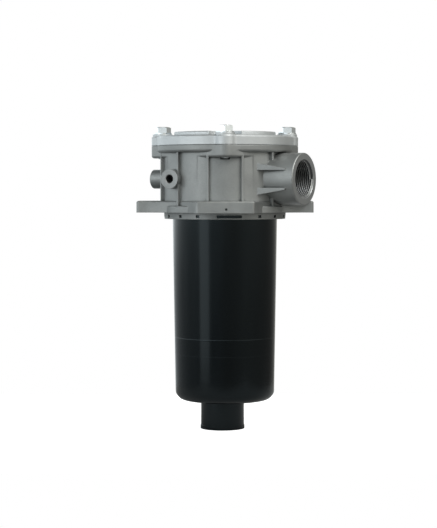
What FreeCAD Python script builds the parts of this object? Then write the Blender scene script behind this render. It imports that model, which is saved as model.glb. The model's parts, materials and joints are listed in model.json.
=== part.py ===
import FreeCAD, Part
import math
import os
import re
import Sketcher

# Tank-top hydraulic return filter. Millimetres and degrees, +Z up. The origin is the centre of the
# mounting flange's underside, which lies on the tank. The inlet points to the right and forwards.
SIZES = {
    # Barrel of the head, which the radii of the other pieces are measured from
    "barrel_radius": 69,
    "barrel_wall": 6.5,
    "head_height": 72.6,
    "rib_count": 12,
    "rib_width": 2.5,
    "rib_height": 3.5,
    "rib_turn": 15,
    "rib_foot": 5,
    # Rim, with a lobe and a web for each cover bolt
    "rim_overhang": 6,
    "rim_thickness": 7.7,
    "rim_foot_round": 3,
    "joint_chamfer": 0.5,
    "bolt_inset": 0.5,
    "lobe_radius": 12,
    "lobe_fillet": 6.5,
    "ear_depth": 13.6,
    "ear_half_width": 31,
    "ear_foot_round": 3,
    # Mounting flange: a plate with four lugs, its sides scooped out between them
    "flange_thickness": 12.5,
    "lug_count": 4,
    "lug_length": 27,
    "lug_half_width": 31.3,
    "lug_corner_round": 3,
    "flange_edge_chamfer": 1.2,
    "waist_overhang": 1,
    "tank_hole_inset": 13.5,
    "tank_hole_radius": 5.5,
    "disc_overhang": 5,
    "disc_thickness": 7.4,
    "disc_edge_chamfer": 1,
    "mark_radius": 1.3,
    "mark_depth": 0.6,
    "mark_height": 4,
    "mark_offset": 1,
    # Ring under the flange, with windows for the bowl's snap teeth
    "ring_inset": 2,
    "ring_taper": 0.7,
    "ring_wall": 5.7,
    "ring_depth": 7.05,
    "window_count": 18,
    "window_width": 3.9,
    "window_height": 3,
    "window_drop": 2.5,
    "window_turn": 3.9,
    "key_window_width": 22.2,
    # Bores inside the head
    "top_wall": 11,
    "top_bore_depth": 14.5,
    "ledge_step": 3.3,
    "ledge_height": 6,
    "ledge_thickness": 4,
    # Inlet boss, and two fins that taper towards its face
    "inlet_turn": -30,
    "inlet_height": 36.2,
    "inlet_length": 29.2,
    "inlet_boss_radius": 28.2,
    "inlet_edge_chamfer": 0.8,
    "inlet_bore_radius": 19.5,
    "inlet_thread_radius": 20.955,
    "inlet_thread_depth": 24,
    "inlet_mouth_chamfer": 0.4,
    "fin_gap": 9.5,
    "fin_length": 20,
    "fin_root_thickness": 7.5,
    "fin_tip_thickness": 2,
    "fin_root_half_width": 35,
    "fin_tip_half_width": 27.6,
    # Two indicator bosses, mirrored about a line through the axis
    "indicator_mid_turn": 195,
    "indicator_spread": 45,
    "indicator_offset": 26.1,
    "indicator_height": 36.3,
    "indicator_rise": 5.5,
    "indicator_boss_radius": 10.5,
    "indicator_bore_radius": 4.3,
    "indicator_mouth_chamfer": 0.75,
    # Cover
    "cover_thickness": 10.8,
    "cover_edge_chamfer": 1.6,
    "cover_skin": 5,
    "pad_radius": 10.8,
    "pad_rise": 2,
    "plateau_inset": 11,
    "plateau_rise": 4.4,
    "plateau_chamfer": 1,
    "scallop_radius": 22,
    "plug_clearance": 0.15,
    "plug_depth": 12,
    "plug_wall": 7,
    "spring_boss_radius": 20,
    "spring_boss_depth": 8.5,
    "spring_stub_depth": 4,
    "stub_clearance": 1,
    # Cover bolts and washers
    "bolt_radius": 5,
    "bolt_length": 28.8,
    "bolt_head_flats": 16,
    "bolt_head_height": 6.4,
    "bolt_hole_clearance": 0.5,
    "thread_clearance": 0.05,
    "washer_radius": 10,
    "washer_thickness": 1.6,
    "washer_clearance": 0.25,
    # O-rings, drawn at their squeezed height
    "seal_gap": 0.1,
    "seal_section": 3.3,
    "seal_groove_width": 4.2,
    "cover_groove_drop": 6,
    "bowl_groove_drop": 3.5,
    "outlet_seal_section": 2.2,
    "outlet_groove_width": 2.8,
    "outlet_groove_drop": 5,
    # Bowl
    "bowl_length": 205.6,
    "bowl_wall": 3,
    "bowl_taper": 3.4,
    "bowl_corner_round": 11,
    "collar_clearance": 0.3,
    "collar_step": 3.6,
    "tooth_length": 4.5,
    "neck_bore_radius": 18,
    "neck_wall": 4,
    "neck_height": 11,
    "spout_radius": 23.65,
    "spout_wall": 3,
    "spout_length": 31.5,
    "spout_offset": -2.6,
    "spout_lip": 0.5,
    "spout_lip_width": 4,
    # Filter element
    "element_gap": 2,
    "element_length": 203.6,
    "cap_thickness": 2,
    "cap_skirt": 7,
    "cap_skirt_wall": 1.2,
    "spigot_clearance": 0.2,
    "spigot_length": 12,
    "spigot_bore_radius": 13.5,
    "core_radius": 22,
    "core_wall": 1,
    "core_hole_radius": 5,
    "core_hole_count": 4,
    "core_hole_rows": 4,
    "core_hole_pitch": 40,
    "pleat_count": 48,
    "pleat_sheet": 1.4,
    "pleat_tip_gap": 0.8,
    "pleat_root_gap": 0.3,
    "clip_gap": 0.1,
    "clip_thickness": 0.6,
    "clip_width": 5,
    # Bypass valve in the element's top cap
    "seat_bore_radius": 11,
    "seat_radius": 15,
    "seat_flange_radius": 18,
    "seat_flange_thickness": 1.5,
    "seat_depth": 6,
    "seat_clearance": 0.05,
    "poppet_radius": 14,
    "poppet_thickness": 2.5,
    "poppet_gap": 0.1,
    "pilot_radius": 9.8,
    "pilot_height": 0.9,
    "poppet_seal_thickness": 1.4,
    "stem_radius": 3,
    "stem_clearance": 0.05,
    "stem_length": 36,
    "cage_radius": 19,
    "cage_wall": 1.2,
    "cage_flange_radius": 20.5,
    "cage_length": 36,
    "cage_window_count": 4,
    "cage_window_width": 14,
    "cage_window_height": 22,
    "bypass_coil_radius": 9.5,
    "bypass_wire_radius": 1.2,
    "bypass_turns": 6,
    # Spring that holds the element down, and the pitch of both springs' closed turns in wire radii
    "closed_pitch": 2.1,
    "hold_coil_radius": 15,
    "hold_wire_radius": 1.5,
    "hold_turns": 7,
    # How far a cutting shape runs past the face that it opens, and one shape into the next
    "overrun": 2,
}

# A spring's wire is drawn in this many straight steps to each turn, with this many sides
COIL_STEPS = 16
WIRE_SIDES = 8

document = FreeCAD.newDocument("ReturnFilter")
sheet = document.addObject("Spreadsheet::Sheet", "Sizes")
for row, (alias, amount) in enumerate(SIZES.items(), start=1):
    sheet.set(f"A{row}", alias)
    sheet.set(f"B{row}", str(amount))
    sheet.setAlias(f"B{row}", alias)
document.recompute()

# Heights above the tank that several pieces share
COVER_TOP = "(head_height + cover_thickness)"
PAD_TOP = f"({COVER_TOP} + pad_rise)"
BOLT_SEAT = f"({PAD_TOP} + washer_thickness)"
RIM_FOOT = "(head_height - rim_thickness)"
EAR_FOOT = "(head_height - ear_depth)"
NECK_TOP = "(-bowl_length + bowl_wall + neck_height)"
ELEMENT_TOP = "(-bowl_length + bowl_wall + neck_height + element_length)"
COLLAR_TOP = "(ledge_height - collar_clearance)"
COLLAR_FOOT = "(-ring_depth + collar_clearance)"
SEAT_FACE = f"({ELEMENT_TOP} - seat_depth)"
POPPET_TOP = f"({SEAT_FACE} - poppet_gap - poppet_seal_thickness)"
POPPET_FOOT = f"({POPPET_TOP} - poppet_thickness)"
CAGE_TOP = f"({ELEMENT_TOP} - cap_thickness)"
CAGE_FLOOR = f"({CAGE_TOP} - cage_length + cage_wall)"
HOLD_SEAT = f"({ELEMENT_TOP} + seat_flange_thickness)"
HOLD_TOP = "(head_height - spring_boss_depth)"

# Radii that several pieces share, from the barrel outwards and then inwards
RIM_RADIUS = "(barrel_radius + rim_overhang)"
LUG_REACH = "(barrel_radius + lug_length)"
INLET_REACH = "(barrel_radius + inlet_length)"
INDICATOR_REACH = "(barrel_radius + indicator_rise)"
BOLT_PLACE = "(barrel_radius - bolt_inset)"
RING_RADIUS = "(barrel_radius - ring_inset)"
CHAMBER_RADIUS = "(barrel_radius - barrel_wall)"
PLATEAU_RADIUS = "(barrel_radius - plateau_inset)"
TOP_BORE = "(barrel_radius - top_wall)"
PLUG_RADIUS = f"({TOP_BORE} - plug_clearance)"
COLLAR_BORE = f"({RING_RADIUS} - ring_wall)"
COLLAR_RADIUS = f"({COLLAR_BORE} - collar_clearance)"
BOWL_TOP_RADIUS = f"({COLLAR_RADIUS} - collar_step)"
BOWL_FOOT_RADIUS = f"({BOWL_TOP_RADIUS} - bowl_taper)"
ELEMENT_RADIUS = f"({BOWL_FOOT_RADIUS} - bowl_wall - element_gap)"
PLEAT_TIP = f"({ELEMENT_RADIUS} - cap_skirt_wall - pleat_tip_gap)"
SPIGOT_RADIUS = "(neck_bore_radius - spigot_clearance)"


def spelled(formula):
    """The formula with the sheet's name put before each size in it."""
    return re.sub(r"[a-z_]+", lambda word: f"Sizes.{word[0]}" if word[0] in SIZES else word[0], formula)


def number(formula):
    """What a formula comes to, as a plain number."""
    result = sheet.evalExpression(spelled(formula))
    return float(getattr(result, "Value", result))


def bind(item, **formulas):
    """Bind properties of an object to formulas of the sheet's sizes."""
    for name, formula in formulas.items():
        item.setExpression(name, spelled(formula))


def placing(x="0", y="0", z="0", turn="0", tilt="0"):
    """A placement: tilted about Y first, then turned about Z, then moved."""
    return (f"create(<<placement>>; create(<<vector>>; {x}; {y}; {z}); "
            f"create(<<rotation>>; {turn}; {tilt}; 0))")


def polar(reach, side, z, turn):
    """A place given by its reach along a bearing, its offset to the left of it and its height."""
    return {
        "x": f"({reach}) * cos({turn}) - ({side}) * sin({turn})",
        "y": f"({reach}) * sin({turn}) + ({side}) * cos({turn})",
        "z": z,
        "turn": turn,
    }


def new_body(label):
    body = document.addObject("PartDesign::Body", label)
    body.Label = label
    body.AllowCompound = True
    return body


def origin_of(body, role):
    return next(item for item in body.Origin.OriginFeatures if item.Role == role)


def settle(body, item):
    """Make the newest feature the body's shape and work the model out."""
    body.Tip = item
    document.recompute()
    return item


def cylinder(body, name, radius, height, cut=False, **place):
    kind = "Subtractive" if cut else "Additive"
    item = body.newObject(f"PartDesign::{kind}Cylinder", name)
    bind(item, Radius=radius, Height=height, Placement=placing(**place))
    return settle(body, item)


def cone(body, name, start, end, height, cut=False, **place):
    kind = "Subtractive" if cut else "Additive"
    item = body.newObject(f"PartDesign::{kind}Cone", name)
    bind(item, Radius1=start, Radius2=end, Height=height, Placement=placing(**place))
    return settle(body, item)


def box(body, name, length, width, height, cut=False, **place):
    kind = "Subtractive" if cut else "Additive"
    item = body.newObject(f"PartDesign::{kind}Box", name)
    bind(item, Length=length, Width=width, Height=height, Placement=placing(**place))
    return settle(body, item)


def outline(body, name, role, corners, **place):
    """A closed sketch of straight sides, each corner tied to its two formulas."""
    sketch = body.newObject("Sketcher::SketchObject", name)
    sketch.AttachmentSupport = [(origin_of(body, role), "")]
    sketch.MapMode = "FlatFace"
    bind(sketch, AttachmentOffset=placing(**place))
    points = [FreeCAD.Vector(number(across), number(up), 0) for across, up in corners]
    sketch.addGeometry([Part.LineSegment(*ends) for ends in zip(points, points[1:] + points[:1])], False)
    for side in range(len(corners)):
        sketch.addConstraint(Sketcher.Constraint("Coincident", side, 2, (side + 1) % len(corners), 1))
    for side, corner in enumerate(corners):
        for kind, axis, formula in zip(("DistanceX", "DistanceY"), (-2, -1), corner):
            if formula == "0":
                sketch.addConstraint(Sketcher.Constraint("PointOnObject", side, 1, axis))
                continue
            tie = Sketcher.Constraint(kind, -1, 1, side, 1, number(formula))
            bind(sketch, **{f"Constraints[{sketch.addConstraint(tie)}]": formula})
    return sketch


def turned(body, name, corners, cut=False, **place):
    """A solid or a cut turned about an upright axis, from corners given as radius and height."""
    sketch = outline(body, f"{name}Profile", "XZ_Plane", corners, **place)
    item = body.newObject("PartDesign::Groove" if cut else "PartDesign::Revolution", name)
    item.Profile = sketch
    item.ReferenceAxis = (sketch, ["V_Axis"])
    item.Angle = 360
    return settle(body, item)


def drafted(body, name, start, end):
    """A solid whose straight sides run from one sketch to another."""
    item = body.newObject("PartDesign::AdditiveLoft", name)
    item.Profile = start
    item.Sections = [end]
    item.Ruled = True
    return settle(body, item)


def raised(body, name, corners, height, **place):
    """A flat plate pulled straight up from its plan outline."""
    sketch = outline(body, f"{name}Plan", "XY_Plane", corners, **place)
    item = body.newObject("PartDesign::Pad", name)
    item.Profile = sketch
    bind(item, Length=height)
    return settle(body, item)


def around(body, name, features, count):
    """Copies of features spaced evenly about the filter's axis."""
    item = body.newObject("PartDesign::PolarPattern", name)
    item.Originals = features
    item.Axis = (origin_of(body, "Z_Axis"), [""])
    item.Angle = 360
    bind(item, Occurrences=count)
    return settle(body, item)


def copies_around(body, name, count):
    """Copies of the whole body spaced evenly about the filter's axis."""
    item = body.newObject("PartDesign::PolarPattern", name)
    item.TransformMode = "Whole shape"
    item.Axis = (origin_of(body, "Z_Axis"), [""])
    item.Angle = 360
    bind(item, Occurrences=count)
    return settle(body, item)


def eased(body, kind, name, belongs, amount):
    """A fillet or chamfer on each edge of the body that belongs() picks."""
    base = body.Tip
    edges = [f"Edge{place}" for place, edge in enumerate(base.Shape.Edges, start=1) if belongs(edge)]
    item = body.newObject(f"PartDesign::{kind}", name)
    item.Base = (base, edges)
    bind(item, **{"Radius" if kind == "Fillet" else "Size": amount})
    return settle(body, item)


def near(amount, target):
    return abs(amount - target) < 0.02


def is_upright(edge):
    """True for an edge that runs straight up and down."""
    bounds = edge.BoundBox
    return bounds.ZLength > 0.1 and bounds.XLength < 0.01 and bounds.YLength < 0.01


def is_level_at(edge, height):
    bounds = edge.BoundBox
    return near(bounds.ZMin, height) and near(bounds.ZMax, height)


def reach_of(edge):
    """How far an edge's middle lies from the filter's axis."""
    middle = edge.valueAt((edge.FirstParameter + edge.LastParameter) / 2)
    return math.hypot(middle.x, middle.y)


def bolting_rim(body, foot, thickness):
    """The lobed plan that the head's rim and the cover share: a disc, and a round lobe at each bolt."""
    cylinder(body, "RimDisc", RIM_RADIUS, thickness, z=foot)
    lobe = cylinder(body, "Lobe", "lobe_radius", thickness, x=BOLT_PLACE, z=foot)
    around(body, "Lobes", [lobe], "lug_count")
    middle = number(f"{foot} + {thickness} / 2")

    def is_valley(edge):
        return is_upright(edge) and near(reach_of(edge), number(RIM_RADIUS)) \
            and near(edge.BoundBox.Center.z, middle)

    eased(body, "Fillet", "LobeFillets", is_valley, "lobe_fillet")


def joint_edge(body):
    """Small chamfer where the rim's outline meets the joint between head and cover."""
    eased(body, "Chamfer", "JointEdge", lambda edge: is_level_at(edge, number("head_height"))
          and reach_of(edge) > number(f"{RIM_RADIUS} - overrun"), "joint_chamfer")


def flange(body):
    """Square plate with a large round bite at each corner, which leaves the four lugs."""
    waist = "((barrel_radius + waist_overhang) / sqrt(2))"
    bite_place = (f"((2 * {waist}^2 - lug_half_width^2 - {LUG_REACH}^2)"
                  f" / (4 * {waist} - 2 * (lug_half_width + {LUG_REACH})))")
    box(body, "Plate", f"2 * {LUG_REACH}", f"2 * {LUG_REACH}", "flange_thickness",
        x=f"-{LUG_REACH}", y=f"-{LUG_REACH}")
    bite = cylinder(body, "Bite", f"sqrt(2) * ({bite_place} - {waist})", "flange_thickness + 2 * overrun",
                    cut=True, x=bite_place, y=bite_place, z="-overrun")
    around(body, "Bites", [bite], "lug_count")
    eased(body, "Fillet", "LugCorners",
          lambda edge: is_upright(edge) and reach_of(edge) > number(LUG_REACH), "lug_corner_round")
    eased(body, "Chamfer", "FlangeEdge",
          lambda edge: is_level_at(edge, number("flange_thickness")), "flange_edge_chamfer")
    turned(body, "Disc", (
        ("0", "0"),
        ("barrel_radius + disc_overhang", "0"),
        ("barrel_radius + disc_overhang", "disc_thickness - disc_edge_chamfer"),
        ("barrel_radius + disc_overhang - disc_edge_chamfer", "disc_thickness"),
        ("0", "disc_thickness"),
    ))


def snap_ring(body):
    """Ring under the flange, with a row of small windows and one wide one at the front."""
    inside = f"({COLLAR_BORE} - overrun)"
    turned(body, "Ring", (
        (inside, "overrun"),
        (RING_RADIUS, "overrun"),
        (RING_RADIUS, "0"),
        (f"{RING_RADIUS} - ring_taper", "-ring_depth"),
        (inside, "-ring_depth"),
    ))
    through = f"{RING_RADIUS} + overrun - {inside}"
    foot = "-window_drop - window_height"
    window = box(body, "Window", through, "window_width", "window_height", cut=True,
                 **polar(inside, "-window_width / 2", foot, "(180 / window_count - 90 + window_turn)"))
    around(body, "Windows", [window], "window_count")
    box(body, "KeyWindow", through, "key_window_width", "window_height", cut=True,
        **polar(inside, "-key_window_width / 2", foot, "(window_turn - 90)"))


def ears(body):
    """Webs under the rim's lobes, which carry the cover bolts' threads down to the barrel."""
    wing = "sqrt(barrel_radius^2 - ear_half_width^2)"
    sweep = (f"(atan2(ear_half_width; {wing} - {BOLT_PLACE})"
             f" - acos(lobe_radius / sqrt(({wing} - {BOLT_PLACE})^2 + ear_half_width^2)))")
    touch = (f"{BOLT_PLACE} + lobe_radius * cos({sweep})", f"lobe_radius * sin({sweep})")
    web = raised(body, "Ear", (
        (wing, "ear_half_width"),
        (wing, "-ear_half_width"),
        (touch[0], f"-{touch[1]}"),
        touch,
    ), "ear_depth", z=EAR_FOOT)
    post = cylinder(body, "EarPost", "lobe_radius", "ear_depth", x=BOLT_PLACE, z=EAR_FOOT)
    around(body, "Ears", [web, post], "lug_count")


def inlet(body):
    """Round boss with a fin above and below its middle, each thick at the barrel and thin at its tip."""
    roots = "sqrt(barrel_radius^2 - fin_root_half_width^2)"
    for name, sign in (("LowerFin", ""), ("UpperFin", "-")):
        ends = []
        for end, reach, half_width, thickness in (
                ("Root", roots, "fin_root_half_width", "fin_root_thickness"),
                ("Tip", "barrel_radius + fin_length", "fin_tip_half_width", "fin_tip_thickness")):
            inner = f"{sign}fin_gap"
            outer = f"{sign}(fin_gap + {thickness})"
            ends.append(outline(body, name + end, "XY_Plane", (
                (inner, f"-{half_width}"),
                (outer, f"-{half_width}"),
                (outer, half_width),
                (inner, half_width),
            ), tilt="90", **polar(reach, "0", "inlet_height", "inlet_turn")))
        drafted(body, name, *ends)
    start = f"({CHAMBER_RADIUS} - inlet_boss_radius)"
    cylinder(body, "InletBoss", "inlet_boss_radius", f"{INLET_REACH} - inlet_edge_chamfer - {start}",
             tilt="90", **polar(start, "0", "inlet_height", "inlet_turn"))
    cone(body, "InletFace", "inlet_boss_radius", "inlet_boss_radius - inlet_edge_chamfer",
         "inlet_edge_chamfer", tilt="90",
         **polar(f"{INLET_REACH} - inlet_edge_chamfer", "0", "inlet_height", "inlet_turn"))


def inlet_bore(body):
    """The oil's way in, wider over the length of its thread."""
    start = f"({CHAMBER_RADIUS} / 2)"
    cylinder(body, "InletBore", "inlet_bore_radius", f"{INLET_REACH} + overrun - {start}", cut=True,
             tilt="90", **polar(start, "0", "inlet_height", "inlet_turn"))
    cylinder(body, "InletThread", "inlet_thread_radius", "inlet_thread_depth + overrun", cut=True,
             tilt="90", **polar(f"{INLET_REACH} - inlet_thread_depth", "0", "inlet_height", "inlet_turn"))
    cone(body, "InletMouth", "inlet_thread_radius", "inlet_thread_radius + inlet_mouth_chamfer",
         "inlet_mouth_chamfer", cut=True, tilt="90",
         **polar(f"{INLET_REACH} - inlet_mouth_chamfer", "0", "inlet_height", "inlet_turn"))


def indicator_bearings():
    """Bearing and sideways offset of each indicator boss, front first."""
    return (
        ("Front", "(indicator_mid_turn + indicator_spread)", "-indicator_offset"),
        ("Rear", "(indicator_mid_turn - indicator_spread)", "indicator_offset"),
    )


def indicator_bosses(body):
    start = f"({CHAMBER_RADIUS} - 2 * indicator_boss_radius)"
    for name, turn, side in indicator_bearings():
        cylinder(body, f"{name}Boss", "indicator_boss_radius", f"{INDICATOR_REACH} - {start}", tilt="90",
                 **polar(start, side, "indicator_height", turn))


def indicator_bores(body):
    start = f"({CHAMBER_RADIUS} - 2 * indicator_boss_radius)"
    for name, turn, side in indicator_bearings():
        cylinder(body, f"{name}Bore", "indicator_bore_radius", f"{INDICATOR_REACH} + overrun - {start}",
                 cut=True, tilt="90", **polar(start, side, "indicator_height", turn))
        cone(body, f"{name}Mouth", "indicator_bore_radius", "indicator_bore_radius + indicator_mouth_chamfer",
             "indicator_mouth_chamfer", cut=True, tilt="90",
             **polar(f"{INDICATOR_REACH} - indicator_mouth_chamfer", side, "indicator_height", turn))


def filter_head():
    """The aluminium casting that bolts to the tank and carries everything else."""
    body = new_body("filter_head")
    flange(body)
    snap_ring(body)
    cylinder(body, "Barrel", "barrel_radius", "head_height")
    bolting_rim(body, RIM_FOOT, "rim_thickness")

    def is_outer_edge_at(height, edge):
        return is_level_at(edge, number(height)) and reach_of(edge) > number("barrel_radius + bolt_inset")

    eased(body, "Fillet", "RimFoot", lambda edge: is_outer_edge_at(RIM_FOOT, edge), "rim_foot_round")
    ears(body)
    eased(body, "Fillet", "EarFoot", lambda edge: is_outer_edge_at(EAR_FOOT, edge), "ear_foot_round")
    rib = box(body, "Rib", "rib_height + overrun", "rib_width", "head_height - rim_thickness / 2 - rib_foot",
              **polar("barrel_radius - overrun", "-rib_width / 2", "rib_foot", "rib_turn"))
    around(body, "Ribs", [rib], "rib_count")
    inlet(body)
    indicator_bosses(body)
    cylinder(body, "RimFacing", f"{INLET_REACH} + overrun", "head_height", cut=True, z="head_height")
    joint_edge(body)
    turned(body, "Chamber", (
        ("0", "-ring_depth - overrun"),
        (COLLAR_BORE, "-ring_depth - overrun"),
        (COLLAR_BORE, "ledge_height"),
        (f"{COLLAR_BORE} - ledge_step", "ledge_height"),
        (f"{COLLAR_BORE} - ledge_step", "ledge_height + ledge_thickness"),
        (CHAMBER_RADIUS, "ledge_height + ledge_thickness"),
        (CHAMBER_RADIUS, "head_height - top_bore_depth"),
        (TOP_BORE, "head_height - top_bore_depth"),
        (TOP_BORE, "head_height + overrun"),
        ("0", "head_height + overrun"),
    ), cut=True)
    inlet_bore(body)
    indicator_bores(body)
    tank_hole = cylinder(body, "TankHole", "tank_hole_radius", "flange_thickness + 2 * overrun", cut=True,
                         x=f"{LUG_REACH} - tank_hole_inset", z="-overrun")
    around(body, "TankHoles", [tank_hole], "lug_count")
    thread = cylinder(body, "CoverThread", "bolt_radius + thread_clearance", "ear_depth + 2 * overrun",
                      cut=True, x=BOLT_PLACE, z=f"{EAR_FOOT} - overrun")
    around(body, "CoverThreads", [thread], "lug_count")
    cylinder(body, "CastMark", "mark_radius", "mark_depth + overrun", cut=True, tilt="90",
             **polar(f"{LUG_REACH} - mark_depth", "mark_offset", "mark_height", "-90"))
    return body


def cover():
    """The lid: lobed plate, scalloped raised centre, and a hollow plug that seals in the head."""
    body = new_body("cover")
    bolting_rim(body, "head_height", "cover_thickness")
    joint_edge(body)
    top = number(COVER_TOP)
    eased(body, "Chamfer", "TopEdge", lambda edge: is_level_at(edge, top), "cover_edge_chamfer")
    turned(body, "Plateau", (
        ("0", f"{COVER_TOP} - cover_thickness / 2"),
        (PLATEAU_RADIUS, f"{COVER_TOP} - cover_thickness / 2"),
        (PLATEAU_RADIUS, f"{COVER_TOP} + plateau_rise - plateau_chamfer"),
        (f"{PLATEAU_RADIUS} - plateau_chamfer", f"{COVER_TOP} + plateau_rise"),
        ("0", f"{COVER_TOP} + plateau_rise"),
    ))
    scallop = cylinder(body, "Scallop", "scallop_radius", "plateau_rise + overrun", cut=True,
                       x=BOLT_PLACE, z=COVER_TOP)
    around(body, "Scallops", [scallop], "lug_count")
    pad = cylinder(body, "BoltPad", "pad_radius", "pad_rise + cover_thickness / 2", x=BOLT_PLACE,
                   z=f"{COVER_TOP} - cover_thickness / 2")
    around(body, "BoltPads", [pad], "lug_count")
    cylinder(body, "Plug", PLUG_RADIUS, "plug_depth + overrun", z="head_height - plug_depth")
    groove_top = "head_height - cover_groove_drop + seal_groove_width / 2"
    turned(body, "SealGroove", (
        (f"{PLUG_RADIUS} + overrun", groove_top),
        (f"{TOP_BORE} - seal_section - seal_gap", groove_top),
        (f"{TOP_BORE} - seal_section - seal_gap", f"{groove_top} - seal_groove_width"),
        (f"{PLUG_RADIUS} + overrun", f"{groove_top} - seal_groove_width"),
    ), cut=True)
    hollow_depth = "plug_depth + cover_thickness - cover_skin + overrun"
    cylinder(body, "Hollow", f"{PLUG_RADIUS} - plug_wall", hollow_depth, cut=True,
             z="head_height - plug_depth - overrun")
    cylinder(body, "SpringBoss", "spring_boss_radius", f"{COVER_TOP} - cover_skin / 2 - {HOLD_TOP}",
             z=HOLD_TOP)
    cylinder(body, "SpringStub", "hold_coil_radius - hold_wire_radius - stub_clearance",
             "spring_stub_depth + overrun", z=f"{HOLD_TOP} - spring_stub_depth")
    hole = cylinder(body, "BoltHole", "bolt_radius + bolt_hole_clearance",
                    "cover_thickness + pad_rise + 2 * overrun", cut=True,
                    x=BOLT_PLACE, z="head_height - overrun")
    around(body, "BoltHoles", [hole], "lug_count")
    return body


def cover_bolts():
    """Four hexagon bolts through the cover into the head's lobes."""
    body = new_body("cover_bolts")
    head = body.newObject("PartDesign::AdditivePrism", "HexHead")
    head.Polygon = 6
    bind(head, Circumradius="bolt_head_flats / sqrt(3)", Height="bolt_head_height",
         Placement=placing(x=BOLT_PLACE, z=BOLT_SEAT))
    settle(body, head)
    head_top = f"{BOLT_SEAT} + bolt_head_height"
    bevel_start = "bolt_head_flats * 0.475"
    bevel_end = "bolt_head_flats * 0.7"
    turned(body, "HeadBevel", (
        (bevel_start, head_top),
        (bevel_end, head_top),
        (bevel_end, f"{head_top} - ({bevel_end} - {bevel_start}) * tan(30)"),
    ), cut=True, x=BOLT_PLACE)
    cylinder(body, "Shank", "bolt_radius", "bolt_length + bolt_head_height / 2",
             x=BOLT_PLACE, z=f"{BOLT_SEAT} - bolt_length")
    tip = number(f"{BOLT_SEAT} - bolt_length")
    eased(body, "Chamfer", "TipBevel", lambda edge: is_level_at(edge, tip), "bolt_radius / 5")
    copies_around(body, "FourBolts", "lug_count")
    return body


def cover_washers():
    body = new_body("cover_washers")
    turned(body, "Washer", (
        ("bolt_radius + washer_clearance", PAD_TOP),
        ("washer_radius", PAD_TOP),
        ("washer_radius", BOLT_SEAT),
        ("bolt_radius + washer_clearance", BOLT_SEAT),
    ), x=BOLT_PLACE)
    copies_around(body, "FourWashers", "lug_count")
    return body


def bowl():
    """The moulded cup below the tank wall: collar with snap teeth, tapered wall, neck and spout."""
    body = new_body("bowl")
    turned(body, "Cup", (
        ("0", COLLAR_TOP),
        (COLLAR_RADIUS, COLLAR_TOP),
        (COLLAR_RADIUS, COLLAR_FOOT),
        (BOWL_TOP_RADIUS, COLLAR_FOOT),
        (BOWL_FOOT_RADIUS, "-bowl_length"),
        ("0", "-bowl_length"),
    ))
    foot = number("-bowl_length")
    eased(body, "Fillet", "FootRound", lambda edge: is_level_at(edge, foot), "bowl_corner_round")
    turned(body, "Inside", (
        ("0", f"{COLLAR_TOP} + overrun"),
        (f"{BOWL_TOP_RADIUS} - bowl_wall", f"{COLLAR_TOP} + overrun"),
        (f"{BOWL_TOP_RADIUS} - bowl_wall", COLLAR_FOOT),
        (f"{BOWL_FOOT_RADIUS} - bowl_wall", "-bowl_length + bowl_corner_round"),
        (f"{BOWL_FOOT_RADIUS} - bowl_corner_round", "-bowl_length + bowl_wall"),
        ("neck_bore_radius + neck_wall", "-bowl_length + bowl_wall"),
        ("neck_bore_radius + neck_wall", NECK_TOP),
        ("0", NECK_TOP),
    ), cut=True)
    groove_top = f"{COLLAR_TOP} - bowl_groove_drop + seal_groove_width / 2"
    turned(body, "SealGroove", (
        (f"{COLLAR_RADIUS} + overrun", groove_top),
        (f"{COLLAR_BORE} - seal_section - seal_gap", groove_top),
        (f"{COLLAR_BORE} - seal_section - seal_gap", f"{groove_top} - seal_groove_width"),
        (f"{COLLAR_RADIUS} + overrun", f"{groove_top} - seal_groove_width"),
    ), cut=True)
    tooth_foot = "-window_drop - window_height + collar_clearance"
    tooth_start = f"({COLLAR_RADIUS} - overrun)"
    tooth = box(body, "Tooth", "tooth_length + overrun", "window_width - 2 * collar_clearance",
                "window_height - 2 * collar_clearance",
                **polar(tooth_start, "collar_clearance - window_width / 2", tooth_foot,
                        "(180 / window_count - 90 + window_turn)"))
    around(body, "Teeth", [tooth], "window_count")
    box(body, "KeyTooth", "tooth_length + overrun", "key_window_width - 2 * collar_clearance",
        "window_height - 2 * collar_clearance",
        **polar(tooth_start, "collar_clearance - key_window_width / 2", tooth_foot, "(window_turn - 90)"))
    cylinder(body, "Spout", "spout_radius", "spout_length + bowl_wall / 2",
             x="spout_offset", z="-bowl_length - spout_length")
    cylinder(body, "SpoutLip", "spout_radius + spout_lip", "spout_lip_width",
             x="spout_offset", z="-bowl_length - spout_length")
    cylinder(body, "SpoutBore", "spout_radius - spout_wall", "spout_length + overrun", cut=True,
             x="spout_offset", z="-bowl_length - spout_length - overrun")
    cylinder(body, "NeckBore", "neck_bore_radius", "neck_height + bowl_wall + 2 * overrun", cut=True,
             z="-bowl_length - overrun")
    return body


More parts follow.
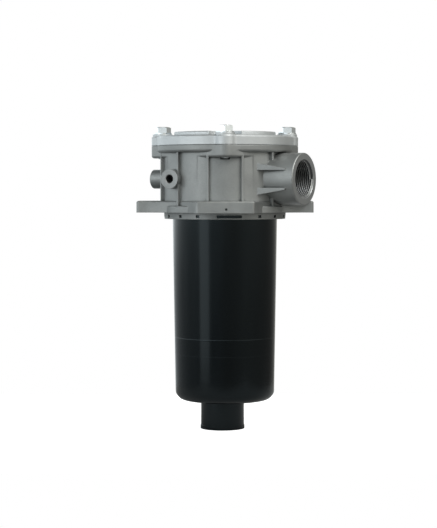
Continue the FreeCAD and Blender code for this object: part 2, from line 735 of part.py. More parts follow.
def element_caps():
    """The two end caps of the filter element, each with a skirt that holds the pleats."""
    top = new_body("element_top_cap")
    turned(top, "Cap", (
        ("seat_radius + seat_clearance", ELEMENT_TOP),
        (ELEMENT_RADIUS, ELEMENT_TOP),
        (ELEMENT_RADIUS, f"{ELEMENT_TOP} - cap_skirt"),
        (f"{ELEMENT_RADIUS} - cap_skirt_wall", f"{ELEMENT_TOP} - cap_skirt"),
        (f"{ELEMENT_RADIUS} - cap_skirt_wall", CAGE_TOP),
        ("seat_radius + seat_clearance", CAGE_TOP),
    ))
    bottom = new_body("element_bottom_cap")
    spigot_foot = f"{NECK_TOP} - spigot_length"
    turned(bottom, "Cap", (
        ("spigot_bore_radius", f"{NECK_TOP} + cap_thickness"),
        (f"{ELEMENT_RADIUS} - cap_skirt_wall", f"{NECK_TOP} + cap_thickness"),
        (f"{ELEMENT_RADIUS} - cap_skirt_wall", f"{NECK_TOP} + cap_skirt"),
        (ELEMENT_RADIUS, f"{NECK_TOP} + cap_skirt"),
        (ELEMENT_RADIUS, NECK_TOP),
        (SPIGOT_RADIUS, NECK_TOP),
        (SPIGOT_RADIUS, spigot_foot),
        ("spigot_bore_radius", spigot_foot),
    ))
    groove_root = "neck_bore_radius - outlet_seal_section - seal_gap"
    groove_top = f"{NECK_TOP} - outlet_groove_drop + outlet_groove_width / 2"
    turned(bottom, "SealGroove", (
        (f"{SPIGOT_RADIUS} + overrun", groove_top),
        (groove_root, groove_top),
        (groove_root, f"{groove_top} - outlet_groove_width"),
        (f"{SPIGOT_RADIUS} + overrun", f"{groove_top} - outlet_groove_width"),
    ), cut=True)
    return top, bottom


def core_tube():
    """The perforated tube that the pleats lean on."""
    body = new_body("core_tube")
    turned(body, "Tube", (
        ("core_radius - core_wall", f"{NECK_TOP} + cap_thickness"),
        ("core_radius", f"{NECK_TOP} + cap_thickness"),
        ("core_radius", CAGE_TOP),
        ("core_radius - core_wall", CAGE_TOP),
    ))
    middle = f"({NECK_TOP} + {CAGE_TOP} + cap_thickness) / 2"
    rows = round(number("core_hole_rows"))
    for row in range(rows):
        lift = f"({row} - (core_hole_rows - 1) / 2) * core_hole_pitch"
        hole = cylinder(body, f"Hole{row}", "core_hole_radius", "core_wall + 2 * overrun", cut=True,
                        tilt="90", **polar("core_radius - core_wall - overrun", "0", f"{middle} + {lift}",
                                           f"({row % 2} * 180 / core_hole_count)"))
        around(body, f"HoleRow{row}", [hole], "core_hole_count")
    return body


def pleated_media():
    """The pleat pack: one sheet folded to and fro between the core and the caps' skirts."""
    count = round(number("pleat_count"))
    root = number("core_radius + pleat_root_gap")
    tip = number(PLEAT_TIP)
    sheet_thickness = number("pleat_sheet")
    foot = number(f"{NECK_TOP} + cap_thickness")

    def zigzag(inner, outer):
        steps = [math.pi * step / count for step in range(2 * count)]
        reaches = [(outer, inner)[step % 2] for step in range(2 * count)]
        corners = [FreeCAD.Vector(reach * math.cos(turn), reach * math.sin(turn), foot)
                   for reach, turn in zip(reaches, steps)]
        return Part.Wire(Part.makePolygon(corners + corners[:1]))

    face = Part.makeFace([zigzag(root + sheet_thickness, tip), zigzag(root, tip - sheet_thickness)],
                         "Part::FaceMakerBullseye")
    height = number(f"{CAGE_TOP} - {NECK_TOP} - cap_thickness")
    item = document.addObject("Part::Feature", "pleated_media")
    item.Label = "pleated_media"
    item.Shape = face.extrude(FreeCAD.Vector(0, 0, height))
    return item


def pleat_clip():
    """The strip along the pleat pack's seam."""
    body = new_body("pleat_clip")
    box(body, "Strip", "clip_thickness", "clip_width", "element_length - 2 * cap_skirt - 2 * clip_gap",
        x=f"{PLEAT_TIP} + clip_gap", y="-clip_width / 2", z=f"{NECK_TOP} + cap_skirt + clip_gap")
    return body


def seals():
    """The three O-rings: cover, bowl collar and outlet spigot, each turned from an eight-sided section."""
    for label, bore, section, height in (
            ("cover_oring", TOP_BORE, "seal_section", "head_height - cover_groove_drop"),
            ("bowl_oring", COLLAR_BORE, "seal_section", f"{COLLAR_TOP} - bowl_groove_drop"),
            ("outlet_oring", "neck_bore_radius", "outlet_seal_section", f"{NECK_TOP} - outlet_groove_drop")):
        middle = f"{bore} - ({section} + seal_gap) / 2"
        half = f"({section} - seal_gap) / 2"
        turned(new_body(label), "Ring", tuple(
            (f"{middle} + {half} * cos({lean})", f"{height} + {half} * sin({lean})")
            for lean in range(0, 360, 45)))


def bypass_valve():
    """Seat, poppet with stem, its seal, and the cage that carries the spring."""
    seat = new_body("bypass_seat")
    turned(seat, "Seat", (
        ("seat_bore_radius", SEAT_FACE),
        ("seat_radius", SEAT_FACE),
        ("seat_radius", ELEMENT_TOP),
        ("seat_flange_radius", ELEMENT_TOP),
        ("seat_flange_radius", HOLD_SEAT),
        ("seat_bore_radius", HOLD_SEAT),
    ))
    poppet = new_body("bypass_poppet")
    turned(poppet, "Poppet", (
        ("0", f"{POPPET_TOP} + pilot_height"),
        ("pilot_radius", f"{POPPET_TOP} + pilot_height"),
        ("pilot_radius", POPPET_TOP),
        ("poppet_radius", POPPET_TOP),
        ("poppet_radius", POPPET_FOOT),
        ("stem_radius", POPPET_FOOT),
        ("stem_radius", f"{POPPET_FOOT} - stem_length"),
        ("0", f"{POPPET_FOOT} - stem_length"),
    ))
    seal = new_body("poppet_seal")
    turned(seal, "Seal", (
        ("pilot_radius + seal_gap", POPPET_TOP),
        ("poppet_radius", POPPET_TOP),
        ("poppet_radius", f"{POPPET_TOP} + poppet_seal_thickness"),
        ("pilot_radius + seal_gap", f"{POPPET_TOP} + poppet_seal_thickness"),
    ))
    cage = new_body("bypass_cage")
    turned(cage, "Cage", (
        ("stem_radius + stem_clearance", f"{CAGE_FLOOR} - cage_wall"),
        ("cage_radius", f"{CAGE_FLOOR} - cage_wall"),
        ("cage_radius", f"{CAGE_TOP} - cage_wall"),
        ("cage_flange_radius", f"{CAGE_TOP} - cage_wall"),
        ("cage_flange_radius", CAGE_TOP),
        ("cage_radius - cage_wall", CAGE_TOP),
        ("cage_radius - cage_wall", CAGE_FLOOR),
        ("stem_radius + stem_clearance", CAGE_FLOOR),
    ))
    window = box(cage, "Window", "cage_wall + 2 * overrun", "cage_window_width", "cage_window_height",
                 cut=True, x="cage_radius - cage_wall - overrun", y="-cage_window_width / 2",
                 z=f"{CAGE_TOP} - cage_length / 2 - cage_window_height / 2")
    around(cage, "Windows", [window], "cage_window_count")


def spring(label, coil_radius, wire_radius, turns, foot, top):
    """A compression spring that fills the room between its two seats, its first and last turn closed."""
    coil = number(coil_radius)
    wire = number(wire_radius)
    count = round(number(turns))
    start = number(foot) + wire
    climb = number(top) - wire - start
    closed = wire * number("closed_pitch")

    def height(turn):
        open_part = min(max(turn - 1, 0), count - 2)
        return start + closed * (turn - open_part) + (climb - 2 * closed) * open_part / (count - 2)

    def section(step):
        """The wire's section after so many steps, an octagon that stands upright along the coil's radius."""
        bearing = 2 * math.pi * step / COIL_STEPS
        leans = [2 * math.pi * (side + 0.5) / WIRE_SIDES for side in range(WIRE_SIDES)]
        corners = [FreeCAD.Vector((coil + wire * math.cos(lean)) * math.cos(bearing),
                                  (coil + wire * math.cos(lean)) * math.sin(bearing),
                                  height(step / COIL_STEPS) + wire * math.sin(lean)) for lean in leans]
        return Part.makePolygon(corners + corners[:1])

    item = document.addObject("Part::Feature", label)
    item.Label = label
    item.Shape = Part.makeLoft([section(step) for step in range(count * COIL_STEPS + 1)], True, True)
    return item


filter_head()
cover()
cover_bolts()
cover_washers()
bowl()
element_caps()
core_tube()
pleated_media()
pleat_clip()
seals()
bypass_valve()
spring("bypass_spring", "bypass_coil_radius", "bypass_wire_radius", "bypass_turns", CAGE_FLOOR, POPPET_FOOT)
spring("hold_down_spring", "hold_coil_radius", "hold_wire_radius", "hold_turns", HOLD_SEAT, HOLD_TOP)
document.recompute()

for item in document.Objects:
    if set(item.State) & {"Invalid", "Error"}:
        raise RuntimeError(f"{item.Name} did not build: {item.State}")

pieces = [item for item in document.Objects if item.TypeId in ("PartDesign::Body", "Part::Feature")]
for piece in pieces:
    if piece.Shape.isNull() or not piece.Shape.isValid():
        raise RuntimeError(f"{piece.Label} has no valid shape")

os.makedirs("parts", exist_ok=True)
for piece in pieces:
    piece.Shape.exportStep(f"parts/{piece.Label}.step")
    print(piece.Label, len(piece.Shape.Solids), round(piece.Shape.Volume / 1000, 2), piece.Shape.BoundBox)
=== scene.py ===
import json
import math

import bpy
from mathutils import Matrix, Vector


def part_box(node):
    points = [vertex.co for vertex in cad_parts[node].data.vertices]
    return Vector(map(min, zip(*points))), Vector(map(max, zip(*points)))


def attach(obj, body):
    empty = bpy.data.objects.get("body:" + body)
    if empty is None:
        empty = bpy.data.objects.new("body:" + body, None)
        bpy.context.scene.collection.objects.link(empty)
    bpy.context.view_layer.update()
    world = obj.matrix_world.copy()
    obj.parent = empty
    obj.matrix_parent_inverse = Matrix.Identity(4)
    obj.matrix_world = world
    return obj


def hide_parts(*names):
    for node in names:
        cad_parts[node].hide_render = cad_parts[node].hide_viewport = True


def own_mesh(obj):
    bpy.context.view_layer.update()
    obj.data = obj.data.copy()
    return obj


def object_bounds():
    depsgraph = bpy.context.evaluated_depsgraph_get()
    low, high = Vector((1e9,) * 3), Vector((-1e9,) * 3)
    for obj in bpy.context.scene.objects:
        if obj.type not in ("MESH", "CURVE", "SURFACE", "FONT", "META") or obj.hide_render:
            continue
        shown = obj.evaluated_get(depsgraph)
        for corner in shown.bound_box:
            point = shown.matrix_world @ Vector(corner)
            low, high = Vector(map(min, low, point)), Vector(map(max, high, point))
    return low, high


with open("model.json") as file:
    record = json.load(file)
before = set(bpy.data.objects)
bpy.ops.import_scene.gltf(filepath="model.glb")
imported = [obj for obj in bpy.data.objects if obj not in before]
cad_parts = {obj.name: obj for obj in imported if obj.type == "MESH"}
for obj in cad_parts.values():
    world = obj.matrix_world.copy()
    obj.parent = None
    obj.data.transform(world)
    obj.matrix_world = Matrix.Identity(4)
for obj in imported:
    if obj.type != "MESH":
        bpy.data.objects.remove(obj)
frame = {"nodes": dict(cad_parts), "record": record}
cad_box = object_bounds()

# Camera: a level product shot from two metres away. Its eye is at the height of the inlet, so the cover is
# seen a little from below and the bowl a little from above, and the lens is shifted down for the bowl.
PHOTO_HEIGHT = 528
HORIZON_ROW = 186.5
FOCAL_PIXELS = 1727.3
EYE = Vector((-0.00704, -1.9, 0.0282))

bpy.ops.object.camera_add(location=EYE, rotation=(math.radians(90), 0, 0))
camera = bpy.context.object
camera.name = "product_camera"
camera.data.sensor_width = 36
camera.data.lens = camera.data.sensor_width * FOCAL_PIXELS / PHOTO_HEIGHT
camera.data.shift_y = (HORIZON_ROW - PHOTO_HEIGHT / 2) / PHOTO_HEIGHT
camera.data.clip_end = 20
bpy.context.scene.camera = camera
bpy.context.scene.view_settings.view_transform = "Standard"


# Floor and backdrop: white paper under the filter and a white wall far behind it. The floor gives back less
# light than it shows to the eye, as a table does that the lamps don't reach, so undersides stay dark. An
# eye that looks up from under the table sees through it.
def linear(value):
    """A hex colour as written in sRGB, turned to the linear RGBA that the shaders take."""
    parts = [int(value[place:place + 2], 16) / 255 for place in (1, 3, 5)]
    return [part / 12.92 if part <= 0.04045 else ((part + 0.055) / 1.055) ** 2.4 for part in parts] + [1]


def add(tree, kind, settings=None, **links):
    """Adds a shader node, with its settings, and with a value or another node's output on each socket."""
    item = tree.nodes.new(kind)
    for name, value in (settings or {}).items():
        setattr(item, name, value)
    for name, value in links.items():
        place = int(name[1:]) if name[0] == "_" and name[1:].isdigit() else name.replace("_", " ")
        socket = item.inputs[place]
        if isinstance(value, bpy.types.NodeSocket):
            tree.links.new(value, socket)
        else:
            socket.default_value = value
    return item


def new_material(name):
    """An empty node material and its tree."""
    made = bpy.data.materials.new(name)
    made.use_nodes = True
    made.node_tree.nodes.clear()
    return made, made.node_tree


PAPER_WHITE = "#F2F2F2"
TABLE_GREY = "#B4B4B4"
FLOOR_GLOW = 0.9
FLOOR_SIZE = 0.6
FLOOR_LEVEL = cad_box[0][2]

bpy.ops.mesh.primitive_plane_add(size=FLOOR_SIZE, location=(0, 0, FLOOR_LEVEL))
floor = bpy.context.object
floor.name = "paper_floor"
bpy.ops.object.transform_apply(location=True)
paper, tree = new_material("seamless_paper")
seen = add(tree, "ShaderNodeLightPath").outputs["Is Camera Ray"]
glow = add(tree, "ShaderNodeEmission", Color=(1, 1, 1, 1), Strength=FLOOR_GLOW)
white_sheet = add(tree, "ShaderNodeBsdfDiffuse", Color=linear(PAPER_WHITE))
grey_sheet = add(tree, "ShaderNodeBsdfDiffuse", Color=linear(TABLE_GREY))
lit = add(tree, "ShaderNodeAddShader", _0=glow.outputs[0], _1=white_sheet.outputs[0])
pick = add(tree, "ShaderNodeMixShader", _0=seen, _1=grey_sheet.outputs[0], _2=lit.outputs[0])
side = add(tree, "ShaderNodeNewGeometry")
from_below = add(tree, "ShaderNodeMath", {"operation": "MULTIPLY"}, _0=side.outputs["Backfacing"], _1=seen)
open_side = add(tree, "ShaderNodeBsdfTransparent")
sheet = add(tree, "ShaderNodeMixShader", _0=from_below.outputs[0], _1=pick.outputs[0],
            _2=open_side.outputs[0])
add(tree, "ShaderNodeOutputMaterial", Surface=sheet.outputs[0])
floor.data.materials.append(paper)

# Studio: brightness of what lies below the table's level, of the walls and of the ceiling, by bearing in
# degrees. Zero is on the camera's side and the right is positive. A white wall stands behind the filter.
# The walls run over into the ceiling, and into the table, between two heights, given as sines.
BELOW = ((-180, 0.95), (-150, 0.45), (-128, 0.33), (-82, 0.24), (-20, 0.16), (0, 0.13), (40, 0.22),
         (80, 0.20), (128, 0.13), (155, 0.30), (180, 0.95))
WALLS = ((-180, 1.60), (-150, 1.75), (-105, 1.46), (-60, 1.56), (-20, 1.26), (20, 0.64), (60, 1.05),
         (105, 0.36), (150, 0.40), (180, 1.60))
CEILING = ((-180, 0.12), (-120, 0.12), (-60, 0.20), (0, 1.10), (60, 1.60), (120, 0.20), (180, 0.12))
WALLS_TO_CEILING = (0.35, 0.75)
WALLS_TO_TABLE = (0, -0.06)
FULL_LEVEL = 2.0
COOL_SIDE = "#F4FCFF"
WARM_SIDE = "#FFFFF8"


def by_bearing(tree, bearing, levels):
    """Brightness that runs evenly from one bearing's level to the next."""
    ramp = add(tree, "ShaderNodeValToRGB", Fac=bearing)
    stops = ramp.color_ramp.elements
    for turn, level in levels:
        place = turn / 360 + 0.5
        stop = stops[0] if place == 0 else stops[-1] if place == 1 else stops.new(place)
        tint = linear(COOL_SIDE if turn < 0 else WARM_SIDE)
        stop.color = [part * level / FULL_LEVEL for part in tint[:3]] + [1]
    return ramp.outputs[0]


world = bpy.data.worlds.new("studio")
world.use_nodes = True
bpy.context.scene.world = world
tree = world.node_tree
tree.nodes.clear()
way = add(tree, "ShaderNodeTexCoord")
parts = add(tree, "ShaderNodeSeparateXYZ", Vector=way.outputs["Generated"])
forward = add(tree, "ShaderNodeMath", {"operation": "MULTIPLY"}, _0=parts.outputs["Y"], _1=-1)
turned = add(tree, "ShaderNodeMath", {"operation": "ARCTAN2"}, _0=parts.outputs["X"], _1=forward.outputs[0])
bearing = add(tree, "ShaderNodeMapRange", Value=turned.outputs[0], From_Min=-math.pi, From_Max=math.pi)
rise = add(tree, "ShaderNodeMapRange", Value=parts.outputs["Z"], From_Min=WALLS_TO_CEILING[0],
           From_Max=WALLS_TO_CEILING[1])
drop = add(tree, "ShaderNodeMapRange", Value=parts.outputs["Z"], From_Min=WALLS_TO_TABLE[0],
           From_Max=WALLS_TO_TABLE[1])
walls, ceiling, below = (by_bearing(tree, bearing.outputs[0], levels) for levels in (WALLS, CEILING, BELOW))
upper = add(tree, "ShaderNodeMix", {"data_type": "RGBA"}, _0=rise.outputs[0], _6=walls, _7=ceiling)
level = add(tree, "ShaderNodeMix", {"data_type": "RGBA"}, _0=drop.outputs[0], _6=upper.outputs[2], _7=below)
seen = add(tree, "ShaderNodeLightPath").outputs["Is Camera Ray"]
around = add(tree, "ShaderNodeBackground", Color=level.outputs[2], Strength=FULL_LEVEL)
white = add(tree, "ShaderNodeBackground", Color=(1, 1, 1, 1), Strength=1)
pick = add(tree, "ShaderNodeMixShader", _0=seen, _1=around.outputs[0], _2=white.outputs[0])
add(tree, "ShaderNodeOutputWorld", Surface=pick.outputs[0])


# Lamps: a tall soft box low on the left of the camera, which draws the streak down the bowl, and a small
# square one high on the right, which lights the tops of the lugs and the cover.
def soft_box(name, place, size, watts, target):
    """A lamp as wide and as high as its cloth, turned to face its target."""
    bpy.ops.object.light_add(type="AREA", location=place)
    lamp = bpy.context.object
    lamp.name = name
    lamp.data.shape = "RECTANGLE"
    lamp.data.size, lamp.data.size_y = size
    lamp.data.energy = watts
    lamp.rotation_euler = (Vector(target) - Vector(place)).to_track_quat("-Z", "Y").to_euler()


soft_box("left_soft_box", place=(-1.1, -1.05, 0.31), size=(0.6, 1.36), watts=2.2, target=(0, 0, 0.31))
soft_box("right_soft_box", place=(0.95, -0.8, 1.15), size=(0.7, 0.7), watts=11, target=(0, 0, 0))


# Filter head: one aluminium casting, left as cast outside and machined on its faces and in its bores.
# The skin is a dull even grey with a fine sand grain, with painted shade in its corners, and the cut faces
# are brighter, with turning marks.
WELD_GAP = 0.00001
CRISP_ANGLE = math.radians(28)


def show(node, finish):
    """Gives a piece of the frame its material, with smooth curved faces and crisp edges between them."""
    piece = frame["nodes"][node]
    piece.data.materials.clear()
    piece.data.materials.append(finish)
    piece.data.polygons.foreach_set("use_smooth", [True] * len(piece.data.polygons))
    piece.modifiers.new("joined", "WELD").merge_threshold = WELD_GAP
    piece.modifiers.new("crisp", "EDGE_SPLIT").split_angle = CRISP_ANGLE
    return piece


def machine(piece, finish, belongs):
    """Gives the faces that belongs() picks, by their middle and their normal, a second material."""
    piece.data.materials.append(finish)
    place = len(piece.data.materials) - 1
    for face in piece.data.polygons:
        if belongs(face.center, face.normal):
            face.material_index = place


SAND_GRAIN_MM = 1.0
SAND_RELIEF = 0.0001
SAND_ROUGHNESS = (0.46, 0.62)
CLOUD_MM = 26
CAST_EDGE = 0.0007
# Painted shade: where the AO node finds nearby surfaces, the skin is darkened towards this colour.
CORNER_SHADE_COLOUR = "#565857"
CORNER_SHADE_REACH = 0.004
CORNER_SHADE_FADE = (0.15, 0.75)
NOISE_SPAN = (0.3, 0.7)


def cast_metal(name, light, dark):
    """Cast skin: sand grain at its real spacing, soft clouds in its tone, painted shade in corners, rounded
    edges.
    """
    made, tree = new_material(name)
    spot = add(tree, "ShaderNodeTexCoord").outputs["Object"]
    grain = add(tree, "ShaderNodeTexNoise", Vector=spot, Scale=1000 / SAND_GRAIN_MM, Detail=3, Roughness=0.6)
    cloud = add(tree, "ShaderNodeTexNoise", Vector=spot, Scale=1000 / CLOUD_MM, Detail=4, Roughness=0.55)
    tone = add(tree, "ShaderNodeMapRange", Value=cloud.outputs[0], From_Min=NOISE_SPAN[0],
               From_Max=NOISE_SPAN[1])
    skin_colour = add(tree, "ShaderNodeMix", {"data_type": "RGBA"}, _0=tone.outputs[0], _6=linear(dark),
                      _7=linear(light))
    # Painted shade in corners: the colour darkens where ambient occlusion is low.
    corner = add(tree, "ShaderNodeAmbientOcclusion", {"samples": 8}, Distance=CORNER_SHADE_REACH)
    unshaded = add(tree, "ShaderNodeMapRange", Value=corner.outputs["AO"], From_Min=CORNER_SHADE_FADE[0],
                From_Max=CORNER_SHADE_FADE[1])
    colour = add(tree, "ShaderNodeMix", {"data_type": "RGBA"}, _0=unshaded.outputs[0], _6=linear(CORNER_SHADE_COLOUR),
                 _7=skin_colour.outputs[2])
    gloss = add(tree, "ShaderNodeMapRange", Value=grain.outputs[0], From_Min=NOISE_SPAN[0],
                From_Max=NOISE_SPAN[1], To_Min=SAND_ROUGHNESS[0], To_Max=SAND_ROUGHNESS[1])
    soft = add(tree, "ShaderNodeBevel", {"samples": 6}, Radius=CAST_EDGE)
    bump = add(tree, "ShaderNodeBump", Height=grain.outputs[0], Distance=SAND_RELIEF, Strength=0.5,
               Normal=soft.outputs[0])
    skin = add(tree, "ShaderNodeBsdfPrincipled", Base_Color=colour.outputs[2], Roughness=gloss.outputs[0],
               Metallic=1.0, Normal=bump.outputs[0])
    add(tree, "ShaderNodeOutputMaterial", Surface=skin.outputs[0])
    return made


FEED_MARK_MM = 0.8
FEED_MARK_SPREAD = (-0.05, 0.07)
CUT_RELIEF = 0.00002
CUT_EDGE = 0.0003


def turned_metal(name, colour, centre, axis, rough=0.34):
    """Aluminium cut on a lathe: rings round the cutter's axis, drawn wider than the real feed marks."""
    made, tree = new_material(name)
    spot = add(tree, "ShaderNodeTexCoord").outputs["Object"]
    turn = Vector(axis).rotation_difference(Vector((0, 0, 1))).to_euler()
    middle = add(tree, "ShaderNodeMapping", {"vector_type": "POINT"}, Vector=spot, Rotation=turn,
                 Location=-(turn.to_matrix() @ Vector(centre)))
    rings = add(tree, "ShaderNodeTexWave", {"wave_type": "RINGS", "rings_direction": "Z"},
                Vector=middle.outputs[0], Scale=1000 / FEED_MARK_MM / math.tau, Distortion=0.6, Detail=2)
    gloss = add(tree, "ShaderNodeMapRange", Value=rings.outputs[0], To_Min=rough + FEED_MARK_SPREAD[0],
                To_Max=rough + FEED_MARK_SPREAD[1])
    soft = add(tree, "ShaderNodeBevel", {"samples": 6}, Radius=CUT_EDGE)
    bump = add(tree, "ShaderNodeBump", Height=rings.outputs[0], Distance=CUT_RELIEF, Strength=0.5,
               Normal=soft.outputs[0])
    skin = add(tree, "ShaderNodeBsdfPrincipled", Base_Color=linear(colour), Roughness=gloss.outputs[0],
               Metallic=1.0, Normal=bump.outputs[0])
    add(tree, "ShaderNodeOutputMaterial", Surface=skin.outputs[0])
    return made


CAST_LIGHT = "#A2A4A3"
CAST_DARK = "#949695"
# Painted shade: the tones of a dark copy of the cast skin for the small recess on the front lug.
RECESS_SHADE_LIGHT = "#4C4E4D"
RECESS_SHADE_DARK = "#424443"
CUT_ALUMINIUM = "#AEB0B1"
LUG_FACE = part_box("filter_head")[0][1]
RIM_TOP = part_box("filter_head")[1][2]
FACE_SLACK = 0.0001
SQUARE_ON = 0.9
CHAMBER_RADIUS = 0.0628
MARK_SIDE = 0.001
MARK_HEIGHT = 0.004
MARK_REACH = 0.00136
MARK_SLACK = 0.00005
PORT_RIM = 2.6
PORT_WALL = 1.03
PORT_RUNOUT = 1.2

mounts = {mount["name"]: mount for mount in frame["record"]["mounts"]}
head = show("filter_head", cast_metal("cast_aluminium_head", CAST_LIGHT, CAST_DARK))


def in_head_bores(middle, normal):
    """The chamber, the collar bore, the joint face and the face that lies on the tank."""
    flat_face = abs(normal.z) > SQUARE_ON and (middle.z > RIM_TOP - FACE_SLACK or middle.z < FACE_SLACK)
    inward = normal.x * middle.x + normal.y * middle.y < 0
    return flat_face or (math.hypot(middle.x, middle.y) < CHAMBER_RADIUS and inward)


def in_cast_mark(middle, normal):
    """The small round recess low on the front lug, which gets painted shade."""
    beside = math.hypot(middle.x - MARK_SIDE, middle.z - MARK_HEIGHT)
    return beside < MARK_REACH and LUG_FACE + MARK_SLACK < middle.y < 0


machine(head, turned_metal("turned_aluminium_head", CUT_ALUMINIUM, (0, 0, 0), (0, 0, 1)), in_head_bores)
# Painted shade in the cast mark's recess: its faces get a dark copy of the cast skin.
machine(head, cast_metal("painted_shade_recess", RECESS_SHADE_LIGHT, RECESS_SHADE_DARK), in_cast_mark)
for port_name in ("inlet_port", "indicator_port_front", "indicator_port_rear"):
    mouth = Vector(mounts[port_name]["pos_m"])
    outward = Vector(mounts[port_name]["axis"])
    wall = mounts[port_name]["dims"]["r_mm"] / 1000
    half_length = mounts[port_name]["dims"]["length_mm"] / 2000

    def on_port(middle, normal):
        """The flat face round a port's mouth, and the port's own wall."""
        along = (middle - mouth).dot(outward)
        apart = (middle - mouth - outward * along).length
        is_face = normal.dot(outward) > SQUARE_ON and along > half_length and apart < wall * PORT_RIM
        return is_face or (apart < wall * PORT_WALL and along > -half_length * PORT_RUNOUT)

    machine(head, turned_metal(f"turned_aluminium_{port_name}", CUT_ALUMINIUM, mouth, outward), on_port)


# Inlet thread: the pipe thread cut in the inlet's boss. Its ridges stand in from the bored wall, drawn as one
# ridge that winds inwards, with flat crests.
THREAD_PITCH = 0.002309
THREAD_FOOT = THREAD_PITCH * 0.94
THREAD_CREST = 0.0004
THREAD_MINOR = 0.0195
THREAD_SEAT = 0.00015
THREAD_STEPS = 60
THREAD_CRISP_ANGLE = math.radians(25)
THREAD_ROUGHNESS = 0.28

port = mounts["inlet_port"]
major = port["dims"]["r_mm"] / 1000 + THREAD_SEAT
ridge_height = major - THREAD_MINOR
turns = math.floor(port["dims"]["length_mm"] / 1000 / THREAD_PITCH) - 1
bpy.ops.object.select_all(action="DESELECT")
bpy.ops.mesh.primitive_plane_add(size=1, location=(THREAD_MINOR + ridge_height / 2, 0, 0),
                                 rotation=(math.radians(90), 0, 0))
thread = bpy.context.object
thread.name = "inlet_thread"
thread.scale = (ridge_height, THREAD_FOOT, 1)
bpy.ops.object.transform_apply()
for corner in thread.data.vertices:
    corner.select = corner.co.x < THREAD_MINOR + ridge_height / 2
for side in thread.data.edges:
    side.select = all(thread.data.vertices[end].select for end in side.vertices)
for face in thread.data.polygons:
    face.select = False
bpy.ops.object.mode_set(mode="EDIT")
bpy.ops.transform.resize(value=(1, 1, THREAD_CREST / THREAD_PITCH))
bpy.ops.mesh.select_all(action="SELECT")
bpy.ops.mesh.delete(type="ONLY_FACE")
bpy.ops.object.mode_set(mode="OBJECT")
winding = thread.modifiers.new("winding", "SCREW")
winding.axis = "Z"
winding.screw_offset = THREAD_PITCH
winding.iterations = turns
winding.steps = THREAD_STEPS
winding.render_steps = THREAD_STEPS
winding.use_smooth_shade = False
bpy.ops.object.modifier_apply(modifier=winding.name)
bpy.ops.object.mode_set(mode="EDIT")
bpy.ops.mesh.select_all(action="SELECT")
bpy.ops.mesh.fill_holes(sides=4)
bpy.ops.mesh.select_all(action="SELECT")
bpy.ops.mesh.normals_make_consistent(inside=False)
bpy.ops.object.mode_set(mode="OBJECT")
thread.rotation_euler = Vector(port["axis"]).to_track_quat("Z", "Y").to_euler()
thread.location = Vector(port["pos_m"]) - Vector(port["axis"]) * THREAD_PITCH * turns / 2
bpy.ops.object.transform_apply()
bpy.ops.object.shade_smooth_by_angle(angle=THREAD_CRISP_ANGLE)
thread.data.materials.append(
    turned_metal("thread_cut_aluminium", CUT_ALUMINIUM, port["pos_m"], port["axis"], THREAD_ROUGHNESS))
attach(thread, "housing")


# Cover: a second aluminium casting, fresher and lighter than the head, with four bolt lobes and a raised
# centre. It is left as cast above, and cut bright on its joint face and on the plug below it.
COVER_LIGHT = "#D4D7D8"
COVER_DARK = "#C7CACB"
COVER_CUT = "#C2C5C6"

cover = show("cover", cast_metal("cast_aluminium_cover", COVER_LIGHT, COVER_DARK))


def in_cover_cuts(middle, normal):
    """The joint face and the plug below it."""
    return middle.z < RIM_TOP + FACE_SLACK


machine(cover, turned_metal("turned_aluminium_cover", COVER_CUT, (0, 0, 0), (0, 0, 1)), in_cover_cuts)


# Bolts and washers: four hexagon bolts on flat washers, cold-headed steel with a thin coat of zinc, which
# is smooth and bright with a faint cool tint.
ZINC_WHITE = "#DDE1E3"
MOTTLE_MM = 4


def smooth_steel(name, colour, rough, spread=0.07):
    """Bare or plated steel without a grain: a slow mottle in its gloss, and slightly rounded edges."""
    made, tree = new_material(name)
    spot = add(tree, "ShaderNodeTexCoord").outputs["Object"]
    mottle = add(tree, "ShaderNodeTexNoise", Vector=spot, Scale=1000 / MOTTLE_MM, Detail=3, Roughness=0.5)
    gloss = add(tree, "ShaderNodeMapRange", Value=mottle.outputs[0], From_Min=NOISE_SPAN[0],
                From_Max=NOISE_SPAN[1], To_Min=rough - spread, To_Max=rough + spread)
    soft = add(tree, "ShaderNodeBevel", {"samples": 6}, Radius=CUT_EDGE)
    bump = add(tree, "ShaderNodeBump", Height=mottle.outputs[0], Distance=CUT_RELIEF, Strength=0.4,
               Normal=soft.outputs[0])
    skin = add(tree, "ShaderNodeBsdfPrincipled", Base_Color=linear(colour), Roughness=gloss.outputs[0],
               Metallic=1.0, Normal=bump.outputs[0])
    add(tree, "ShaderNodeOutputMaterial", Surface=skin.outputs[0])
    return made


zinc = smooth_steel("zinc_plated_steel", ZINC_WHITE, rough=0.13, spread=0.04)
show("cover_bolts", zinc)
show("cover_washers", zinc)


# Bowl: one black moulding in glass-filled nylon, with the soft gloss that a polished mould gives. Fine
# witness lines run round it where the mould's rings meet, each given by its height, width and rise.
NYLON_BLACK = "#030405"
NYLON_SHINE = "#DAEDF4"
MOULD_GRAIN_MM = 1.2
MOULD_RELIEF = 0.00003
STREAK_MM = 9
STREAK_STRETCH = 0.12
STREAK_SPREAD = (-0.015, 0.02)
WITNESS_LINES = ((-0.1368, 0.0007, 5), (-0.155, 0.0006, 2))


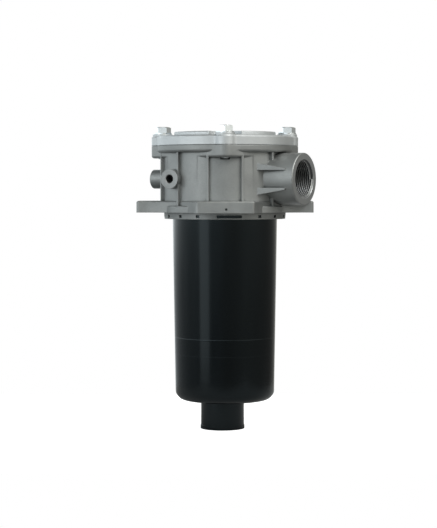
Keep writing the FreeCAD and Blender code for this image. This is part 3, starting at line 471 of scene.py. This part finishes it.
def grained_skin(name, colour, rough, shine, shine_tint="#FFFFFF", lines=()):
    """A skin that isn't metal: fine grain, long upright streaks in its gloss, and any raised lines."""
    made, tree = new_material(name)
    spot = add(tree, "ShaderNodeTexCoord").outputs["Object"]
    grain = add(tree, "ShaderNodeTexNoise", Vector=spot, Scale=1000 / MOULD_GRAIN_MM, Detail=2, Roughness=0.6)
    drawn_out = add(tree, "ShaderNodeMapping", Vector=spot, Scale=(1, 1, STREAK_STRETCH))
    streak = add(tree, "ShaderNodeTexNoise", Vector=drawn_out.outputs[0], Scale=1000 / STREAK_MM, Detail=3,
                 Roughness=0.5)
    gloss = add(tree, "ShaderNodeMapRange", Value=streak.outputs[0], From_Min=NOISE_SPAN[0],
                From_Max=NOISE_SPAN[1], To_Min=rough + STREAK_SPREAD[0], To_Max=rough + STREAK_SPREAD[1])
    relief = grain.outputs[0]
    up = add(tree, "ShaderNodeSeparateXYZ", Vector=spot).outputs["Z"]
    for height, width, rise in lines:
        off = add(tree, "ShaderNodeMath", {"operation": "SUBTRACT"}, _0=up, _1=height)
        apart = add(tree, "ShaderNodeMath", {"operation": "ABSOLUTE"}, _0=off.outputs[0])
        ridge = add(tree, "ShaderNodeMapRange", Value=apart.outputs[0], From_Min=0, From_Max=width,
                    To_Min=rise, To_Max=0)
        relief = add(tree, "ShaderNodeMath", {"operation": "ADD"}, _0=relief, _1=ridge.outputs[0]).outputs[0]
    bump = add(tree, "ShaderNodeBump", Height=relief, Distance=MOULD_RELIEF, Strength=0.4)
    skin = add(tree, "ShaderNodeBsdfPrincipled", Base_Color=linear(colour), Roughness=gloss.outputs[0],
               Specular_IOR_Level=shine, Specular_Tint=linear(shine_tint), Normal=bump.outputs[0])
    add(tree, "ShaderNodeOutputMaterial", Surface=skin.outputs[0])
    return made


show("bowl", grained_skin("black_glass_filled_nylon", NYLON_BLACK, rough=0.17, shine=0.42,
                          shine_tint=NYLON_SHINE, lines=WITNESS_LINES))

# Seals: three O-rings and the poppet's disc, pressed from black nitrile rubber. They are matt and nearly
# black, and lie in grooves where they hardly show.
RUBBER_BLACK = "#1A1A1A"

rubber = grained_skin("black_nitrile_rubber", RUBBER_BLACK, rough=0.6, shine=0.3)
for seal in ("cover_oring", "bowl_oring", "outlet_oring", "poppet_seal"):
    show(seal, rubber)

# Filter element: paper stiffened with resin, pleated between two pressed caps round a perforated core. The
# caps, the core, the seam's clip and the bypass cage are tinned sheet, grey with a soft gloss.
TIN_GREY = "#C2C5C7"
PAPER_CREAM = "#D8CFB4"

tinned = smooth_steel("tinned_sheet", TIN_GREY, rough=0.34)
for pressing in ("element_top_cap", "element_bottom_cap", "core_tube", "pleat_clip", "bypass_cage"):
    show(pressing, tinned)
show("pleated_media", grained_skin("resin_treated_paper", PAPER_CREAM, rough=0.85, shine=0.2))

# Bypass valve and hold-down spring: the seat and the poppet are turned from steel bar and fairly bright,
# and the springs are drawn wire, left dark from its heat treatment.
TURNED_GREY = "#A8AAAB"
WIRE_GREY = "#77787A"

turned_steel = smooth_steel("turned_steel", TURNED_GREY, rough=0.25)
show("bypass_seat", turned_steel)
show("bypass_poppet", turned_steel)
wire = smooth_steel("drawn_spring_wire", WIRE_GREY, rough=0.32)
show("hold_down_spring", wire)

at_rest = show("bypass_spring", wire)
bpy.ops.object.select_all(action="DESELECT")
at_rest.select_set(True)
bpy.context.view_layer.objects.active = at_rest
bpy.ops.object.duplicate()
coil = bpy.context.object
coil.name = "coiled_bypass_spring"
bpy.ops.object.convert(target="MESH")
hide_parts("bypass_spring")
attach(coil, "housing")
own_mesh(coil)
